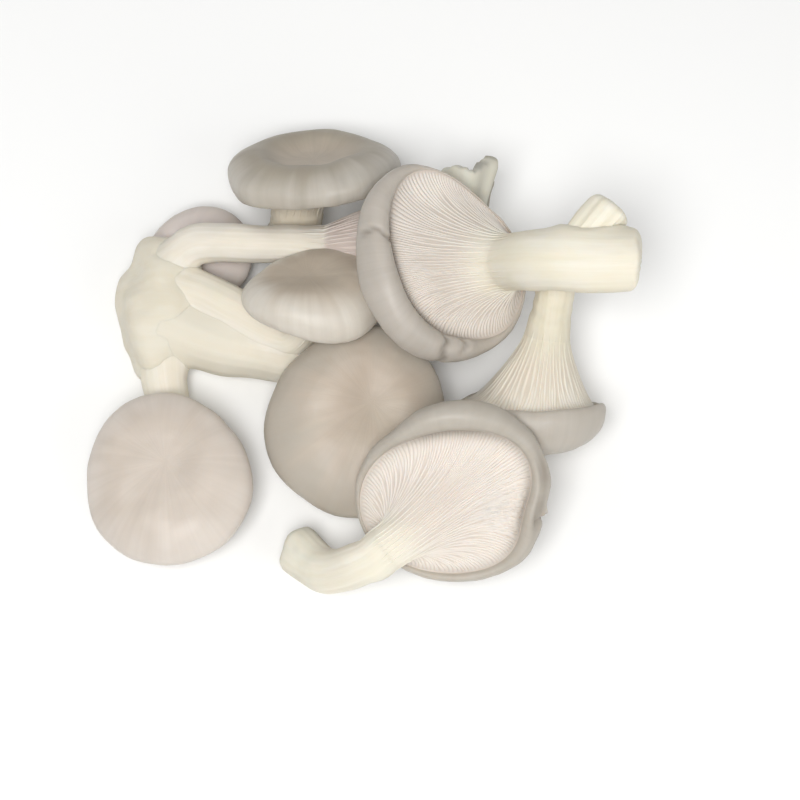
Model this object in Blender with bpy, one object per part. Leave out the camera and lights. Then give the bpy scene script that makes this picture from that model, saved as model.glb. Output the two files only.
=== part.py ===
# A cluster of fresh oyster mushrooms lying on a flat surface: a bunch of five that grew from one
# root, and five picked ones heaped on and round it. Lengths are millimetres until a mesh is made.
import math

import bmesh
import bpy
import numpy as np
from mathutils import Matrix

MM = 0.001
HEAP_MIDDLE = (-12.95, 12.2)  # the middle of the heap, which becomes the part's origin
GILL_RINGS = 6  # rings from the neck out to the rim
LIP_RINGS = 4  # rings round the rolled rim
TOP_RINGS = 5  # rings from the rim in to the cap's middle
LIP_END = math.radians(160)  # how far the rolled rim curls under before the gills start
SHORTEST_FULL_GILL = 12.0  # gills shorter than this are lower too
STEM_END = [(0.94, 1.0), (0.985, 0.86), (1.0, 0.5)]  # share of the stem's length, and of its radius


def mushroom(**changes):
    """The sizes of one mushroom. Its cap lies in its own XY plane, top up, with the stem to -X."""
    spec = dict(
        radius=28.0,  # of the cap
        crown=10.0,  # rise of the cap's top above its widest line
        squareness=2.6,  # 2 is a round dome, more is a flatter top with fuller sides
        dimple=3.0,
        dimple_radius=11.0,
        lip=(5.0, 7.0),  # half-width and drop of the rolled rim
        lip_least=0.35,  # share of that where the rim is thinnest
        lip_side=0,  # direction in which the rim is thickest
        offset=6.0,  # the stem stands this far behind the cap's middle
        neck=((-6, 0, -11), (-7, 0, -19)),  # the first points of the stem's middle line, in the cap's axes
        stem=((0, 0, 0),),  # the rest of that line down to its end, in the heap's axes
        stem_radius=(8.5, 7.5, 8.5),  # from the neck to the end
        stem_rings=6,
        torn=(0, 0),  # height and direction of a torn flap at the stem's end
        lobes=((2, 0.03, 20), (3, 0.025, 75)),  # waves round the outline: count, share of radius, direction
        waves=((2, 1.2, 40), (3, 0.8, 110)),  # waves of the rim up and down: count, height, direction
        flare=(0.9, 0.9),  # how far the gills keep the stem's direction, and the rim's
        back_lift=0,  # rise of the rim behind the stem
        gills=18,
        gill_height=1.3,
        at=(0, 0, 30),
        lean=0,  # degrees that the cap's axis leans from upright
        lean_to=0,  # compass direction of that lean, degrees from +X
        turn=0,  # turn of the mushroom about its own axis
    )
    spec.update(changes)
    return spec


BUNCH = {
    "long_stem": mushroom(
        radius=15.5, at=(-7, 44.8, 26.4), lean=90, lean_to=-4, turn=176, crown=8, lip=(4, 6), offset=2,
        neck=((-2, 0, -19), (-2, 0, -30)), flare=(0.3, 0.4),
        stem=((-54, 47.2, 24.5), (-68, 48, 22), (-80, 42, 16)),
        stem_radius=(7, 6.6, 6.8, 7.2), stem_rings=8,
    ),
    "upper": mushroom(
        radius=23.5, at=(-27.3, 24.3, 35), lean=37.8, lean_to=94.7, turn=-3.6,
        crown=10, lip=(5, 8), offset=3, neck=((-3, 0, -9), (-11, 2, -17)),
        stem=((-54, 24.5, 19.5), (-67, 32, 18), (-82, 37, 14)),
        stem_radius=(7, 6.5, 7, 7, 7), stem_rings=9,
    ),
    "broad": mushroom(
        radius=31, at=(-13.8, -15, 19), lean=15.6, lean_to=-79.3, turn=-122.5,
        crown=10, offset=10, neck=((-10, -2, -10), (-14, -11, -15.5)),
        stem=((-42, 11, 12), (-62, 16, 12), (-82, 24, 12)),
        stem_radius=(7.5, 7.5, 8.5, 10.5, 10.5), stem_rings=9,
    ),
    "side": mushroom(
        radius=28, at=(-75.9, -34.1, 17), lean=7.8, lean_to=-111.8, turn=-90,
        neck=((-7, 0, -8), (-18, 0, -12)), stem=((-79, 2, 8), (-82, 24, 10)), stem_radius=(7, 6.5, 7.5, 8.5),
    ),
    "small": mushroom(
        radius=18, at=(-68.5, 50, 9), crown=4.5, dimple=1.5, dimple_radius=6, lip=(3, 4), offset=6,
        neck=((-5, 0, -4.2), (-11, 0, -6)), back_lift=2,
        stem=((-92, 44, 3.2),), stem_radius=(2.7, 2.7, 2.7), stem_rings=5, gills=14, gill_height=0.8,
    ),
}
LOOSE = {
    "leaning_mushroom": mushroom(
        radius=30, at=(-28.9, 74.5, 25.2), lean=47.7, lean_to=94.7, turn=91.5,
        crown=9, squareness=3.4, dimple=8, dimple_radius=14, lip=(5.8, 12), offset=1,
        neck=((-1, 7, -13), (-1, 8, -19)), stem=((-38, 56, 8.6),), stem_radius=(9, 8.8, 8.8),
    ),
    "cupped_mushroom": mushroom(
        radius=32, at=(13, 31, 45.7), lean=149.9, lean_to=156.8, turn=-49.4,
        lip=(5.4, 7.5), lip_least=0.1, lip_side=-30, offset=20, neck=((-20, 0, -11),),
        stem=((46, 26, 59.3), (60, 22.8, 65.4), (76.4, 22.8, 65.6)), stem_radius=(9.2, 9.9, 9.9, 9.6),
        lobes=((0, -0.015, 0), (1, -0.032, 90), (2, 0.07, 67),
               (2, -0.025, 94), (3, 0.04, 72), (3, -0.014, 96)),
        gills=32, gill_height=1.6,
    ),
    "front_mushroom": mushroom(
        radius=31, at=(17.6, -44.1, 34.0), lean=147.1, lean_to=84.7, turn=-45.8,
        lip=(4.8, 6.5), lip_least=0.1, lip_side=-8, offset=26, neck=((-26, 0, -9.5), (-35, 0, -9)),
        back_lift=4, stem=((-24, -63.6, 13.8), (-35.2, -53.6, 7.3)),
        stem_radius=(7.5, 7, 8.5), gills=32, gill_height=1.6,
    ),
    "upturned_mushroom": mushroom(
        radius=24.5, at=(44.3, -10, 21), lean=122, lean_to=-94.2, turn=91.8,
        crown=15.5, lip=(3, 5), offset=2, neck=((-3, -5, -23),), flare=(0.6, 0.7),
        stem=((51.4, 28.5, 41.2),), stem_radius=(7.6, 6.3, 6.4), stem_rings=5, gills=26, gill_height=1.5,
    ),
    "torn_mushroom": mushroom(
        radius=14, at=(17, 44, 11.3), lean=141, lean_to=-118, turn=0,
        crown=5, dimple=1.5, dimple_radius=6, lip=(3, 4), offset=1, neck=((-1, 0, -8.5), (-1, 0, -13)),
        stem=((21, 59, 25), (23, 71, 28.5)), stem_radius=(5.5, 9, 11.5), torn=(7, 0),
        gills=14, gill_height=0.8,
    ),
}
STUMP = dict(line=((48, 22.5, 61.5), (58.5, 30, 64.5), (68, 41, 67)), radius=(8, 8.5, 7.5))
ROOT = dict(at=(-82, 31, 11), size=(13, 23, 13), sides=20)


def spline(points, where):
    """Points at shares `where` along a Catmull-Rom curve through `points`."""
    p = np.array(points, float)
    p = np.vstack([2 * p[0] - p[1], p, 2 * p[-1] - p[-2]])
    x = np.asarray(where, float) * (len(p) - 3)
    i = np.minimum(x.astype(int), len(p) - 4)
    f = (x - i)[:, None]
    a, b, c, d = p[i], p[i + 1], p[i + 2], p[i + 3]
    return 0.5 * (2 * b + (c - a) * f + (2 * a - 5 * b + 4 * c - d) * f**2 + (3 * b - a - 3 * c + d) * f**3)


def unit(v):
    """Vectors of length 1."""
    return v / np.linalg.norm(v, axis=-1, keepdims=True)


def tube_rows(line, radii, where, swell, angles):
    """Rings of points round a curved line, the first ring's front turned to +X or, under a cap, down."""
    centre = spline(line, where)
    along = unit(spline(line, np.clip(where + 0.01, 0, 1)) - spline(line, np.clip(where - 0.01, 0, 1)))
    radius = np.interp(where, np.linspace(0, 1, len(radii)), radii) * swell
    front = np.array([1.0, 0, -1.0])
    rows = []
    for k in range(len(where)):
        front = unit(front - front @ along[k] * along[k])
        side = np.cross(along[k], front)
        spokes = np.outer(np.cos(angles), front) - np.outer(np.sin(angles), side)
        rows.append(centre[k] + radius[k] * spokes)
    return rows, centre[-1], along


def stem_rows(spec, angles):
    """The stem's rings from its end to its neck, its end point, and the way up it at the neck."""
    line = list(spec["neck"]) + list(to_cap(spec, np.array(spec["stem"], float)))
    shaft = [(0.94 * k / spec["stem_rings"], 1.0) for k in range(spec["stem_rings"])]
    where, swell = np.array(shaft + STEM_END).T
    rows, end, down = tube_rows(line, spec["stem_radius"], where, swell, angles)
    height, at = spec["torn"]
    flap = height * (0.5 + 0.5 * np.cos(angles - math.radians(at))) ** 3
    for row, share in zip(rows[-3:], (0.3, 0.8, 1.0)):
        row += np.outer(flap * share, down[-1])
    return rows[::-1], end - 0.4 * height * down[-1], -down[0]


def cap_rows(spec, angles, neck, up):
    """The rings of the gills, the rolled rim and the cap's top, and the top's middle point."""
    out = np.stack([np.cos(angles), np.sin(angles), 0 * angles], 1)
    z = np.array([0, 0, 1.0])
    side = 0.5 + 0.5 * np.cos(angles - math.radians(spec["lip_side"]))
    thick = (spec["lip_least"] + (1 - spec["lip_least"]) * side)[:, None]
    half, drop = (size * thick for size in spec["lip"])
    rim = out * (spec["radius"] - half)

    def lip(angle):
        return rim + half * math.cos(angle) * out - drop * math.sin(angle) * z

    # gills: a Hermite curve that leaves the neck along the stem and meets the rim going outwards
    edge = lip(LIP_END)
    reach = np.linalg.norm(edge - neck, axis=1, keepdims=True)
    leave = up * reach * spec["flare"][0]
    arrive = (out - 0.1 * z) * reach * spec["flare"][1]
    rows = []
    for t in np.linspace(0, 1, GILL_RINGS + 1)[1:]:
        rows.append(
            (2 * t**3 - 3 * t**2 + 1) * neck
            + (t**3 - 2 * t**2 + t) * leave
            + (3 * t**2 - 2 * t**3) * edge
            + (t**3 - t**2) * arrive
        )
    rows += [lip(LIP_END * (1 - k / LIP_RINGS)) for k in range(1, LIP_RINGS + 1)]

    # top: rings that shrink from the rim towards a point over the stem, on a dome with a dimple
    middle = np.array([-0.8 * spec["offset"], 0, 0])
    for k in range(1, TOP_RINGS + 1):
        shrunk = math.cos(k / (TOP_RINGS + 1) * math.pi / 2)
        rows.append(on_dome(spec, middle + (spec["radius"] * out - middle) * shrunk))
    return rows, on_dome(spec, middle[None])[0]


def on_dome(spec, flat):
    """Lifts points of the cap's plane on to its domed and dimpled top."""
    q = np.minimum(np.linalg.norm(flat, axis=1) / spec["radius"], 1)
    from_dimple = np.linalg.norm(flat + [0.8 * spec["offset"], 0, 0], axis=1) / spec["dimple_radius"]
    lifted = flat.copy()
    dome = spec["crown"] * np.sqrt(1 - q ** spec["squareness"])
    lifted[:, 2] = dome - spec["dimple"] * np.exp(-(from_dimple**2)) * (1 - q**4)
    return lifted


def grown_uneven(spec, points, share):
    """Bends the true circle of the cap into lobes and waves, by `share` of their size."""
    angle = np.arctan2(points[:, 1], points[:, 0])
    q = np.minimum(np.hypot(points[:, 0], points[:, 1]) / spec["radius"], 1)
    grow = sum(size * np.cos(n * (angle - math.radians(at))) for n, size, at in spec["lobes"])
    lift = sum(size * np.cos(n * (angle - math.radians(at))) for n, size, at in spec["waves"])
    bent = points.copy()
    bent[:, :2] *= (1 + share * grow * q**2)[:, None]
    bent[:, 2] += share * lift * q**2 + share * spec["back_lift"] * (0.5 - 0.5 * np.cos(angle)) ** 4 * q**2
    return bent


def raise_gills(rows, first, last, height):
    """Lifts every other point of the gill rings off the surface, so that ridges run out from the stem."""
    grid = np.array(rows)
    reach = np.linalg.norm(grid[last] - grid[first], axis=1)
    height = height * np.minimum(reach / SHORTEST_FULL_GILL, 1)[::2, None]
    along = np.gradient(grid, axis=0)
    around = (np.roll(grid, -1, axis=1) - np.roll(grid, 1, axis=1)) / 2
    outwards = unit(np.cross(around, along))
    for k in range(first, last):
        fade = math.sin(math.pi * (k - first + 0.7) / (last - first + 0.4)) ** 0.6
        spacing = np.linalg.norm(around[k], axis=1)[::2, None]
        rows[k][::2] += np.minimum(height * fade, 0.8 * spacing) * outwards[k][::2]


def turned(spec):
    """The rotation from a cap's axes to the heap's."""
    to, lean, turn = (math.radians(spec[key]) for key in ("lean_to", "lean", "turn"))
    tip = Matrix.Rotation(to, 3, "Z") @ Matrix.Rotation(lean, 3, "Y")
    return np.array(tip @ Matrix.Rotation(turn - to, 3, "Z"))


def placed(spec, points):
    """Takes points from the cap's axes to the heap's."""
    return points @ turned(spec).T + spec["at"]


def to_cap(spec, points):
    """Takes points from the heap's axes to the cap's."""
    return (points - spec["at"]) @ turned(spec)


def loft(name, rows, steps, first_point, last_point):
    """A closed mesh through rings of points. A ring keeps every `step`-th point of its row."""
    mesh = bmesh.new()

    def vertex(point):
        x, y, z = point
        return mesh.verts.new(((x - HEAP_MIDDLE[0]) * MM, (y - HEAP_MIDDLE[1]) * MM, max(z, 0) * MM))

    rings = [[vertex(p) for p in row[::step]] for row, step in zip(rows, steps)]
    first, last = vertex(first_point), vertex(last_point)
    for low, high in zip(rings, rings[1:]):
        bridge(mesh, low, high)
    for a, b in zip(rings[0], rings[0][1:] + rings[0][:1]):
        mesh.faces.new((b, a, first))
    for a, b in zip(rings[-1], rings[-1][1:] + rings[-1][:1]):
        mesh.faces.new((a, b, last))
    bmesh.ops.triangulate(mesh, faces=[face for face in mesh.faces if len(face.verts) > 3])
    return finished(name, mesh)


def finished(name, mesh):
    """Makes the mesh an object, its faces all turned outwards."""
    bmesh.ops.recalc_face_normals(mesh, faces=mesh.faces)
    data = bpy.data.meshes.new(name)
    mesh.to_mesh(data)
    mesh.free()
    data.shade_smooth()
    return bpy.data.objects.new(name, data)


def bridge(mesh, low, high):
    """Faces between two rings that have the same count of points, or one twice the other's."""
    count = min(len(low), len(high))
    a, b = len(low) // count, len(high) // count
    for i in range(count):
        lows = [low[(i * a + k) % len(low)] for k in range(a + 1)]
        highs = [high[(i * b + k) % len(high)] for k in range(b + 1)]
        if a == b:
            mesh.faces.new((lows[0], lows[1], highs[1], highs[0]))
        elif a > b:
            mesh.faces.new((lows[0], lows[1], highs[0]))
            mesh.faces.new((lows[1], highs[1], highs[0]))
            mesh.faces.new((lows[1], lows[2], highs[1]))
        else:
            mesh.faces.new((lows[0], highs[1], highs[0]))
            mesh.faces.new((lows[0], lows[1], highs[1]))
            mesh.faces.new((lows[1], highs[2], highs[1]))


def make_mushroom(name, spec):
    """One whole mushroom as a closed mesh: stem, gills, rolled rim and cap in one skin."""
    columns = 2 * spec["gills"]
    angles = np.arange(columns) * 2 * math.pi / columns
    stem, end, up = stem_rows(spec, angles)
    cap, top = cap_rows(spec, angles, stem[-1], up)
    rows = stem + [grown_uneven(spec, row, min(1, (k + 1) / GILL_RINGS) ** 2) for k, row in enumerate(cap)]
    raise_gills(rows, len(stem), len(stem) + GILL_RINGS, spec["gill_height"])
    steps = [4] * (len(stem) - 1) + [2] + [1] * GILL_RINGS + [2] * (LIP_RINGS + TOP_RINGS - 2) + [4] * 2
    top = grown_uneven(spec, top[None], 1)[0]
    return loft(name, [placed(spec, row) for row in rows], steps, placed(spec, end), placed(spec, top))


def make_stump(name, line, radius, sides=12):
    """A short piece of stem, broken off at its far end."""
    angles = np.arange(sides) * 2 * math.pi / sides
    where, swell = np.array([(0, 0.6), (0.05, 1), (0.35, 1), (0.65, 1), (0.92, 1), (1, 0.8)]).T
    rows, end, _ = tube_rows(line, radius, where, swell, angles)
    return loft(name, rows, [1] * len(rows), np.array(line[0], float), end)


def make_root(name, at, size, sides):
    """The lumpy foot that the bunch grew from, flat where it lies."""
    mesh = bmesh.new()
    bmesh.ops.create_uvsphere(mesh, u_segments=sides, v_segments=sides // 2, radius=1)
    for vertex in mesh.verts:
        x, y, z = vertex.co
        lumps = 1 + 0.07 * math.sin(5 * x + 4 * y) + 0.06 * math.sin(6 * z - 3 * y + 1)
        co = [a + s * v * lumps for a, s, v in zip(at, size, (x, y, z))]
        vertex.co = ((co[0] - HEAP_MIDDLE[0]) * MM, (co[1] - HEAP_MIDDLE[1]) * MM, max(co[2], 0) * MM)
    return finished(name, mesh)


def joined(body, others):
    """Fuses other closed meshes into `body` with one Boolean union, and removes them."""
    group = bpy.data.collections.new("to_join")
    bpy.context.scene.collection.children.link(group)
    for other in others:
        group.objects.link(other)
    union = body.modifiers.new("union", "BOOLEAN")
    union.operation = "UNION"
    union.solver = "EXACT"
    union.operand_type = "COLLECTION"
    union.collection = group
    evaluated = body.evaluated_get(bpy.context.evaluated_depsgraph_get())
    data = bpy.data.meshes.new_from_object(evaluated)
    body.modifiers.remove(union)
    body.data = data
    for other in others:
        bpy.data.objects.remove(other)
    bpy.data.collections.remove(group)


def flesh(name, colour, roughness):
    """A dull material of one colour."""
    material = bpy.data.materials.new(name)
    material.use_nodes = True
    shader = material.node_tree.nodes["Principled BSDF"]
    shader.inputs["Base Color"].default_value = (*colour, 1)
    shader.inputs["Roughness"].default_value = roughness
    shader.inputs["Metallic"].default_value = 0
    return material


def main():
    for thing in list(bpy.data.objects):
        bpy.data.objects.remove(thing)
    heap = bpy.data.collections.new("oyster_mushroom_cluster")
    bpy.context.scene.collection.children.link(heap)

    bunch = make_root("grown_bunch", **ROOT)
    heap.objects.link(bunch)
    joined(bunch, [make_mushroom(name, spec) for name, spec in BUNCH.items()])
    bunch.data.materials.clear()
    bunch.data.materials.append(flesh("bunch_flesh", (0.46, 0.40, 0.33), 0.6))
    for name, spec in LOOSE.items():
        piece = make_mushroom(name, spec)
        heap.objects.link(piece)
        if name == "cupped_mushroom":
            joined(piece, [make_stump("stump", **STUMP)])
        piece.data.materials.clear()
        piece.data.materials.append(flesh(name.replace("mushroom", "flesh"), (0.52, 0.46, 0.38), 0.6))


main()
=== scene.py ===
import math

import bpy
import numpy as np
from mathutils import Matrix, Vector


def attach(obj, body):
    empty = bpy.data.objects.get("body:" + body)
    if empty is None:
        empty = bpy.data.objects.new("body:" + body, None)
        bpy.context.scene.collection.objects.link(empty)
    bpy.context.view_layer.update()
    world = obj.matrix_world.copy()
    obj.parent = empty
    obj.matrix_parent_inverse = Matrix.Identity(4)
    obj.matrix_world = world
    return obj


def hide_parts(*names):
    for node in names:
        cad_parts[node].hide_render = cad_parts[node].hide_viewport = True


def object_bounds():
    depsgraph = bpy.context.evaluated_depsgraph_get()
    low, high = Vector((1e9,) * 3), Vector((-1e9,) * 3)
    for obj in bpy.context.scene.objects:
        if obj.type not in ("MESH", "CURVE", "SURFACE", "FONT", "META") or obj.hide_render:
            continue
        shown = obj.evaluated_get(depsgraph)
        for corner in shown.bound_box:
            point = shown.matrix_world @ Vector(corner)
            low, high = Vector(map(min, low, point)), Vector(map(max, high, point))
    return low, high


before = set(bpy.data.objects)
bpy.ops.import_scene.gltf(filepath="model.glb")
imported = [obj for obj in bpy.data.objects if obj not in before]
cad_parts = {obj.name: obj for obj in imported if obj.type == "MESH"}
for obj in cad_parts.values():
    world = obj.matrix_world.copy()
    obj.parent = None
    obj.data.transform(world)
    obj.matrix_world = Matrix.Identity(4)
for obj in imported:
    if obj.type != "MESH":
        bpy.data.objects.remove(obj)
cadLow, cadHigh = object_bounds()
print("frame loaded, box", [round(v, 4) for v in cadLow], [round(v, 4) for v in cadHigh])

mm = 0.001
# sizes below are in mm from the layout's own zero, as in the solids, and this is the heap's middle there
heapMiddle = np.array([-12.95, 12.2, 0.0])
boxLow, boxHigh = np.array(cadLow), np.array(cadHigh)


# each vector divided by its own length
def unitVectors(v):
    return v / np.maximum(np.linalg.norm(v, axis=-1, keepdims=True), 1e-12)


# cubic through four neighbouring points, whose slope at each is half the step between the ones beside it
def curveThrough(points, share):
    p = np.atleast_2d(np.array(points, float).T).T
    p = np.vstack([2 * p[:1] - p[1:2], p, 2 * p[-1:] - p[-2:-1]])
    x = np.clip(np.asarray(share, float), 0, 1) * (len(p) - 3)
    i = np.minimum(x.astype(int), len(p) - 4)
    f = (x - i)[:, None]
    a, b, c, d = p[i], p[i + 1], p[i + 2], p[i + 3]
    return 0.5 * (2 * b + (c - a) * f + (2 * a - 5 * b + 4 * c - d) * f**2 + (3 * b - a - 3 * c + d) * f**3)


# 0 below low, 1 above high, and 3x^2 - 2x^3 between them
def easeBetween(low, high, x):
    x = np.clip((x - low) / (high - low), 0, 1)
    return x * x * (3 - 2 * x)


# a bell: e to the minus square of the distance over the width, on a circle measured in degrees
def bellAt(angle, middle, width):
    away = (np.degrees(angle) - middle + 180) % 360 - 180
    return np.exp(-(away / width) ** 2)


# soft lumps, mostly between -1 and 1: a sum of plane sine waves in random directions, each about `size` long
def lumps(points, size, seed, waves=9):
    dice = np.random.default_rng(seed)
    ways = unitVectors(dice.normal(size=(waves, 3))) * (2 * math.pi / size)
    ways = ways * dice.uniform(0.6, 1.5, (waves, 1))
    return np.sin(points @ ways.T + dice.uniform(0, 2 * math.pi, waves)).sum(-1) / waves**0.5 * 0.7


# rotation matrix about y or z: cosines down the diagonal, sines across it
def turnAbout(axis, degrees):
    c, s = math.cos(math.radians(degrees)), math.sin(math.radians(degrees))
    if axis == "y":
        return np.array([[c, 0, s], [0, 1, 0], [-s, 0, c]])
    return np.array([[c, -s, 0], [s, c, 0], [0, 0, 1]])


# normals of a grid of rings: the step round the ring crossed with the step along the skin
def ringNormals(grid):
    around = np.roll(grid, -1, axis=1) - np.roll(grid, 1, axis=1)
    return unitVectors(np.cross(around, np.gradient(grid, axis=0)))


# A wrapped shader socket. Sums, products and powers of it add Math nodes, and node() adds any other kind.
class Shade:
    def __init__(self, tree, socket=None):
        self.tree, self.socket = tree, socket

    # kind of node, its settings first, then a value or a wrapped socket for each input, by name or by place
    def node(self, kind, settings=None, inputs=None, output=0):
        made = self.tree.nodes.new(kind)
        for key, value in (settings or {}).items():
            setattr(made, key, value)
        for key, value in (inputs or {}).items():
            if isinstance(value, Shade):
                self.tree.links.new(value.socket, made.inputs[key])
            else:
                made.inputs[key].default_value = value
        return Shade(self.tree, made.outputs[output])

    def calc(self, operation, *values):
        return self.node("ShaderNodeMath", {"operation": operation}, dict(enumerate(values)))

    def __add__(self, other):
        return self.calc("ADD", self, other)

    def __radd__(self, other):
        return self.calc("ADD", other, self)

    def __sub__(self, other):
        return self.calc("SUBTRACT", self, other)

    def __rsub__(self, other):
        return self.calc("SUBTRACT", other, self)

    def __mul__(self, other):
        return self.calc("MULTIPLY", self, other)

    def __rmul__(self, other):
        return self.calc("MULTIPLY", other, self)

    def __truediv__(self, other):
        return self.calc("DIVIDE", self, other)

    def __rtruediv__(self, other):
        return self.calc("DIVIDE", other, self)

    def __pow__(self, other):
        return self.calc("POWER", self, other)

    # goes from 0 to 1 as the value goes from low to high
    def between(self, low, high):
        smooth = {"interpolation_type": "SMOOTHSTEP"}
        return self.node("ShaderNodeMapRange", smooth, {0: self, 1: low, 2: high})

    # colour a where the value is 0, colour b where it is 1
    def tint(self, a, b):
        wide = [(*c, 1) if isinstance(c, tuple) and len(c) == 3 else c for c in (a, b)]
        inputs = {0: self, 6: wide[0], 7: wide[1]}
        return self.node("ShaderNodeMix", {"data_type": "RGBA"}, inputs, output=2)


# an attribute of the mesh, as a value or as a vector
def fromMesh(shade, name, output=2):
    return shade.node("ShaderNodeAttribute", {"attribute_name": name}, output=output)


# cloudy noise from 0 to 1, at a number of lumps per metre in each direction
def clouds(shade, place, perMetre, detail=3.0, rough=0.5):
    scaled = shade.node("ShaderNodeVectorMath", {"operation": "MULTIPLY"}, {0: place, 1: perMetre})
    inputs = {"Vector": scaled, "Scale": 1.0, "Detail": detail, "Roughness": rough}
    return shade.node("ShaderNodeTexNoise", {}, inputs)


# skin of a cap: two greys clouded together, another towards the rim, fine threads running to the middle, and
# where a heart colour is given a paler middle, which is painted light
def capSkin(shade, look, place, grain, outward):
    cloudy = clouds(shade, place, (45, 45, 45), 2.0).between(0.35, 0.68)
    fine = clouds(shade, place, (700, 700, 700), 3.0, 0.6)
    threads = clouds(shade, grain, (420, 420, 16), 3.0, 0.6)
    broad = clouds(shade, grain, (110, 110, 9), 2.0)
    skin = cloudy.tint(look["capColour"], look["capCloud"])
    skin = (outward + (broad - 0.5) * 0.5).between(*look["rimReach"]).tint(skin, look["rimColour"])
    streak = threads.between(0.25, 0.75) * 0.4 + broad.between(0.3, 0.7) * 0.35 + fine * 0.25
    # painted light: the middle of the cap is made paler
    if look["heartLitColour"]:
        skin = outward.between(*look["heartReach"]).tint(skin, look["heartLitColour"])
    dark = tuple(0.74 * c for c in look["capColour"])
    return (streak * 0.34 + 0.66).tint(dark, skin), threads, fine


# gills: pale edges, painted shade down between them that is also a little pinker, creamier towards the stem
def gillFlesh(shade, look, place, crest, nearStem):
    cloudy = clouds(shade, place, (50, 50, 50), 2.0).between(0.3, 0.7)
    edge = cloudy.tint(look["gillColour"], look["gillCloud"])
    edge = nearStem.tint(edge, look["stemColour"])
    # painted shade between the gills: a darker, slightly pinker copy of the gill colour
    gapShade = tuple(k * c for k, c in zip((0.88, 0.85, 0.82), look["gillColour"]))
    return (crest.between(-0.1, 0.7) * 0.85 + 0.15).tint(gapShade, edge)


# stem: cream with long fibres, paler and yellower in patches, and another colour towards the foot
def stemFlesh(shade, look, place, grain, foot):
    fibres = clouds(shade, grain, (260, 260, 14), 4.0, 0.65)
    blush = clouds(shade, place, (70, 70, 70), 3.0).between(0.35, 0.75)
    base = blush.tint(look["stemColour"], look["stemCloud"])
    base = (foot + (blush - 0.5) * 0.3).between(*look["footReach"]).tint(base, look["footColour"])
    worn = tuple(k * c for k, c in zip((0.86, 0.82, 0.74), look["stemCloud"]))
    return (fibres.between(0.25, 0.7) * 0.5 + 0.5).tint(worn, base), fibres


# one flesh for a whole mushroom, which changes with the mesh's own marks for stem, gills, cap and painted
# shade in creases, grooves and folds
def mushroomFlesh(name, look):
    material = bpy.data.materials.new(name)
    material.use_nodes = True
    shader = material.node_tree.nodes["Principled BSDF"]
    shade = Shade(material.node_tree)
    place = shade.node("ShaderNodeTexCoord", output=3)
    grain = fromMesh(shade, "grain", 1)
    stemMark, gillMark, crest, outward, paintedShade, foot = (
        fromMesh(shade, key) for key in ("stemMark", "gillMark", "crest", "outward", "paintedShade", "foot"))
    skin, threads, fine = capSkin(shade, look, place, grain, outward)
    gills = gillFlesh(shade, look, place, crest, stemMark)
    stem, fibres = stemFlesh(shade, look, place, grain, foot)
    colour = stemMark.between(0.35, 1.0).tint(gillMark.tint(skin, gills), stem)
    # painted shade: grooves under the rim, nicks in the cap and inward folds of the stem are darkened towards
    # a dark brown
    shadow = tuple(k * c for k, c in zip((0.42, 0.38, 0.34), look["rimColour"]))
    colour = (paintedShade * 0.85).tint(colour, shadow)
    pale = shade.calc("MAXIMUM", stemMark, gillMark)
    height = stemMark * fibres * 0.6 + (1 - pale) * (threads * 0.22 + fine * 0.12)
    bump = shade.node("ShaderNodeBump", {}, {"Strength": 0.5, "Distance": 0.0005, "Height": height})
    tree = material.node_tree
    tree.links.new(colour.socket, shader.inputs["Base Color"])
    tree.links.new((0.46 + pale * 0.2 + (fine - 0.5) * 0.15).socket, shader.inputs["Roughness"])
    tree.links.new(bump.socket, shader.inputs["Normal"])
    shader.inputs["Subsurface Weight"].default_value = look["soft"]
    shader.inputs["Subsurface Radius"].default_value = (1.0, 0.75, 0.55)
    shader.inputs["Subsurface Scale"].default_value = 0.002
    shader.inputs["Specular IOR Level"].default_value = 0.4
    return material


# every size a mushroom can be given, in mm and degrees; each mushroom below changes some of them
usualMushroom = {
    # top: superellipse, and the hollow over the stem
    "radius": 28, "crown": 10, "squareness": 2.6, "dimple": 3, "dimpleRadius": 11, "dimpleEdge": 2,
    # rolled rim: half-width and drop, then its least share and where it is thickest, or (angle, share) pairs
    "lip": (5, 7), "lipLeast": 0.35, "lipSide": 0, "lipShares": (),
    # stem: how far off the cap's middle, first points in the cap's axes, then points in the layout
    "offset": 6, "neck": ((-6, 0, -11), (-7, 0, -19)), "stemLine": ((0, 0, 0),),
    "stemRadius": (8.5, 7.5, 8.5),
    # outline and height round the cap as (count, size, angle), and flat places as (angle, width, depth)
    "lobes": ((2, 0.03, 20), (3, 0.025, 75)), "waves": ((2, 1.2, 40), (3, 0.8, 110)), "dents": (),
    "flare": (0.9, 0.9), "backLift": 0,
    # end of the stem: how torn, its flaps, and folds along the stem, each as (angle, width, height)
    "torn": 0, "flaps": (), "folds": (),
    # gills, and places as (angle, width, strength) where they are crumpled near the rim
    "gills": 96, "gillHeight": 0.6, "gillRows": 40, "trench": 0.8, "crinkles": (),
    # nicks: angle, width, depth, first and last place across the rim (0 to 1) or top (1 to 2)
    "creases": (),
    # neighbours that the stem is grown together with, and how near they have to be
    "meets": (), "meetReach": 5,
    "capLumps": 0.35, "stemLumps": 0.3, "seed": 1,
    "at": (0, 0, 30), "lean": 0, "leanTo": 0, "turn": 0,
    # colours: each reach says how far out, in or down one colour turns into the next
    "capColour": (0.40, 0.345, 0.285), "capCloud": (0.46, 0.41, 0.34),
    "rimColour": (0.52, 0.48, 0.42), "rimReach": (0.6, 1.0), "heartLitColour": None, "heartReach": (0.5, 0.2),
    "gillColour": (0.68, 0.62, 0.56), "gillCloud": (0.70, 0.65, 0.57),
    "paleTo": 0.55,  # share of the gills' length by which the stem's colour is gone
    "stemColour": (0.78, 0.73, 0.64), "stemCloud": (0.78, 0.74, 0.62),
    "footColour": (0.70, 0.66, 0.56), "footReach": (0.5, 1.1), "soft": 0.3,
}
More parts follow.
